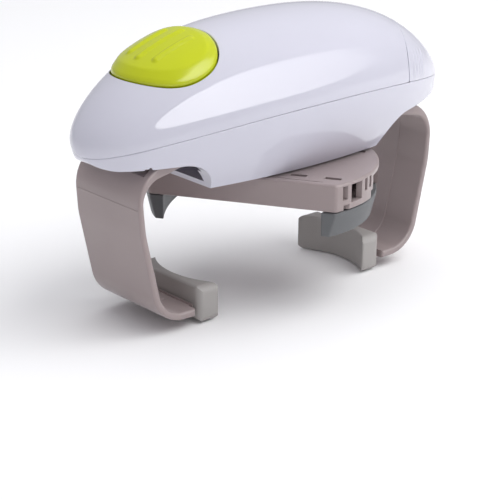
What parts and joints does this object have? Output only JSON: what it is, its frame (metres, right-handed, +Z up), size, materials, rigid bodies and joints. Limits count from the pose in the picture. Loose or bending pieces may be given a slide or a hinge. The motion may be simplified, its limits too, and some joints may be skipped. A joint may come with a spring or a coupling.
{
  "type": "electric jar opener",
  "caption": "Battery jar opener: domed housing with a push button, two sliding arms that hold the jar and a turning bar with two sliding jaws that grips and turns the lid.",
  "frame": {"origin": "on the vertical turning axis, at the level of the undersides of the two arm pads", "axes": "+X along the housing towards the battery cover, -X towards the start button, +Z up"},
  "size_m": [0.18, 0.091, 0.1095],
  "materials": {
    "shell_white": "glossy white moulded shell with a faint cool tint",
    "button_green": "satin lime green",
    "arm_taupe": "warm grey satin moulding",
    "grip_rubber": "neutral grey soft rubber",
    "gear_nylon": "natural nylon",
    "black_plastic": "black moulding",
    "board_green": "green circuit board",
    "cell_jacket": "plain jacket over a metal can",
    "lead_red": "insulated wire",
    "lead_black": "insulated wire",
    "lead_blue": "insulated wire",
    "steel": "plain bright steel",
    "brass": "turned brass"
  },
  "bodies": {
    "housing": {"upper_housing": "shell_white", "lower_housing": "shell_white", "housing_screw_1": "steel", "housing_screw_2": "steel", "housing_screw_3": "steel", "housing_screw_4": "steel", "switch_body": "black_plastic", "switch_bracket": "steel", "control_board": "board_green", "button_spring": "steel", "gear_plate": "gear_nylon", "gear_axle_1": "steel", "gear_axle_2": "steel", "motor_can": "steel", "motor_cap": "black_plastic", "plate_screw_1": "steel", "plate_screw_2": "steel", "plate_screw_3": "steel", "plate_screw_4": "steel", "cell_1": "cell_jacket", "cell_2": "cell_jacket", "positive_contact": "steel", "negative_contact": "steel", "bridge_contact": "steel", "positive_lead": "lead_red", "negative_lead": "lead_black", "motor_lead": "lead_blue", "spindle_bush": "brass"},
    "cover": {"battery_cover": "shell_white"},
    "button": {"start_button": "button_green"},
    "plunger": {"switch_plunger": "button_green"},
    "front_grip": {"front_arm": "arm_taupe", "front_arm_pad": "grip_rubber"},
    "rear_grip": {"rear_arm": "arm_taupe", "rear_arm_pad": "grip_rubber"},
    "arm_gear": {"arm_pinion": "gear_nylon"},
    "turning_bar": {"lid_bar": "arm_taupe", "lid_bar_cover": "arm_taupe", "lid_spindle": "gear_nylon", "bar_screw_1": "steel", "bar_screw_2": "steel", "drive_gear": "gear_nylon", "spindle_clip": "steel"},
    "lid_gear": {"lid_pinion": "gear_nylon"},
    "lid_grip_a": {"lid_jaw_a": "arm_taupe", "lid_jaw_pad_a": "grip_rubber"},
    "lid_grip_b": {"lid_jaw_b": "arm_taupe", "lid_jaw_pad_b": "grip_rubber"},
    "second_gear": {"compound_gear_2": "gear_nylon"},
    "first_gear": {"compound_gear_1": "gear_nylon"},
    "motor_shaft": {"motor_pinion": "brass"}
  },
  "joints": [
    {"name": "button_press", "type": "slide", "parent": "housing", "child": "button", "axis": [0, 0, -1], "range_m": [0, 0.002], "stiffness_N_per_m": 800, "springref_m": -0.001, "deforming": ["button_spring"]},
    {"name": "plunger_press", "type": "slide", "parent": "housing", "child": "plunger", "axis": [0, 0, -1], "range_m": [0, 0.002]},
    {"name": "cover_slide", "type": "slide", "parent": "housing", "child": "cover", "axis": [1, 0, 0], "range_m": [0, 0.04]},
    {"name": "front_arm_slide", "type": "slide", "parent": "housing", "child": "front_grip", "axis": [-1, 0, 0], "range_m": [-0.018, 0.004]},
    {"name": "rear_arm_slide", "type": "slide", "parent": "housing", "child": "rear_grip", "axis": [1, 0, 0], "range_m": [-0.018, 0.004]},
    {"name": "arm_pinion_spin", "type": "hinge", "parent": "housing", "child": "arm_gear", "pos_m": [0, 0, 0.0638], "axis": [0, 0, 1], "range_deg": [-30, 130]},
    {"name": "lid_bar_spin", "type": "hinge", "parent": "housing", "child": "turning_bar", "pos_m": [0, 0, 0.05], "axis": [0, 0, 1], "continuous": true},
    {"name": "lid_jaw_a_slide", "type": "slide", "parent": "turning_bar", "child": "lid_grip_a", "axis": [0.5299, -0.848, 0], "range_m": [-0.018, 0.004]},
    {"name": "lid_jaw_b_slide", "type": "slide", "parent": "turning_bar", "child": "lid_grip_b", "axis": [-0.5299, 0.848, 0], "range_m": [-0.018, 0.004]},
    {"name": "lid_pinion_spin", "type": "hinge", "parent": "turning_bar", "child": "lid_gear", "pos_m": [0, 0, 0.046], "axis": [0, 0, 1], "range_deg": [-34, 149]},
    {"name": "second_gear_spin", "type": "hinge", "parent": "housing", "child": "second_gear", "pos_m": [-0.0185, 0.00759, 0.073], "axis": [0, 0, 1], "continuous": true},
    {"name": "first_gear_spin", "type": "hinge", "parent": "housing", "child": "first_gear", "pos_m": [-0.01549, -0.00914, 0.076], "axis": [0, 0, 1], "continuous": true},
    {"name": "motor_spin", "type": "hinge", "parent": "housing", "child": "motor_shaft", "pos_m": [-0.00085, -0.00051, 0.078], "axis": [0, 0, 1], "continuous": true}
  ],
  "couplings": [
    {"joint": "plunger_press", "follows": "button_press", "ratio": 1},
    {"joint": "rear_arm_slide", "follows": "front_arm_slide", "ratio": 1},
    {"joint": "arm_pinion_spin", "follows": "front_arm_slide", "rad_per_m": -125},
    {"joint": "lid_jaw_b_slide", "follows": "lid_jaw_a_slide", "ratio": 1},
    {"joint": "lid_pinion_spin", "follows": "lid_jaw_a_slide", "rad_per_m": -142.86},
    {"joint": "second_gear_spin", "follows": "lid_bar_spin", "ratio": -3},
    {"joint": "first_gear_spin", "follows": "lid_bar_spin", "ratio": 7.2},
    {"joint": "motor_spin", "follows": "lid_bar_spin", "ratio": -17.28}
  ]
}
